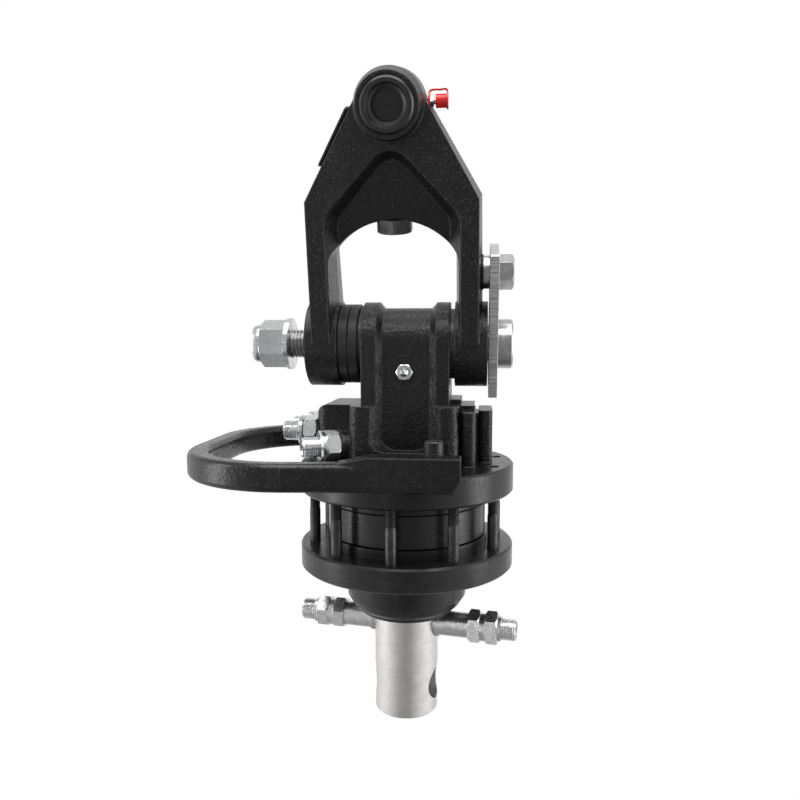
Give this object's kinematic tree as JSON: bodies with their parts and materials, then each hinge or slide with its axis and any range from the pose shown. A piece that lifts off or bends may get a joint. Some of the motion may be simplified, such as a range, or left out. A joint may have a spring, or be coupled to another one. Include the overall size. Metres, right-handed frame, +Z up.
{
  "type": "hydraulic rotator",
  "caption": "Hydraulic rotator for a loader crane: a cast link on a pivot pin with brake discs carries a vane motor with a hose guard, side pipes and a cross-drilled grapple shaft.",
  "frame": {"origin": "middle of the crane pin bore in the link's boss", "axes": "+Z up, along the rotator axis; +X along the pivot pin towards its head and lock plate; -Y towards the side that the plug closes"},
  "size_m": [0.245, 0.2183, 0.477],
  "materials": {
    "black_paint": "satin black paint over a sand casting",
    "bush_bronze": "machined bronze",
    "zinc": "bright zinc plate",
    "bare_steel": "zinc plated flame-cut and turned steel",
    "shaft_steel": "fine turned steel",
    "black_oxide": "oiled black oxide",
    "disc_black": "smooth satin black",
    "black_plastic": "moulded, satin",
    "red_plastic": "soft moulded plastic",
    "seal_rubber": "moulded rubber",
    "seal_plastic": "filled seal plastic",
    "hard_steel": "ground hardened steel"
  },
  "bodies": {
    "link": {"link_yoke": "black_paint", "crane_bush": "bush_bronze", "crane_grease_nipple": "zinc", "nipple_cap_strap": "red_plastic", "pivot_pin": "bare_steel", "pivot_lock_nut": "zinc", "pivot_washer": "zinc", "lock_plate": "bare_steel", "lock_plate_spacer": "zinc", "lock_plate_bolt": "zinc", "arch_bolt": "black_oxide", "brake_disc_outer": "disc_black"},
    "bore_plug": {"bore_plug": "black_plastic"},
    "nipple_cap": {"nipple_cap": "red_plastic"},
    "head": {"brake_disc_inner": "disc_black", "thrust_ring_left": "disc_black", "thrust_ring_right": "disc_black", "head_casting": "black_paint", "pivot_bush_left": "bush_bronze", "pivot_bush_right": "bush_bronze", "lug_grease_nipple": "zinc", "front_adapter": "zinc", "side_adapters": "zinc", "rear_adapter": "zinc", "adapter_seal_rings": "seal_rubber", "hose_guard": "black_paint", "guard_washers": "zinc", "guard_screws": "black_oxide", "cam_ring": "black_paint", "lower_flange": "black_paint", "long_bolts": "black_oxide", "upper_journal_bush": "bush_bronze", "lower_bearing_outer_race": "hard_steel", "lower_bearing_rollers": "hard_steel", "rotor_thrust_washer": "hard_steel", "shaft_seal": "seal_rubber", "dust_wiper": "seal_rubber"},
    "rotor": {"rotor_shaft": "shaft_steel", "rotor_vanes": "hard_steel", "distributor_seal_rings": "seal_plastic", "lower_bearing_inner_race": "hard_steel", "lower_pipes": "shaft_steel", "pipe_nuts": "zinc", "lower_adapters": "zinc"}
  },
  "joints": [
    {"name": "link_swing", "type": "hinge", "parent": "link", "child": "head", "pos_m": [0, 0.05253, -0.16168], "axis": [1, 0, 0], "range_deg": [-32, 68]},
    {"name": "rotor_turn", "type": "hinge", "parent": "head", "child": "rotor", "pos_m": [0.006, 0.05253, -0.31168], "axis": [0, 0, 1], "continuous": true},
    {"name": "plug_pull", "type": "slide", "parent": "link", "child": "bore_plug", "axis": [0, -0.9511, -0.309], "range_m": [0, 0.03]},
    {"name": "cap_pull", "type": "slide", "parent": "link", "child": "nipple_cap", "axis": [1, 0, 0], "range_m": [0, 0.008], "deforming": ["nipple_cap_strap"]}
  ]
}
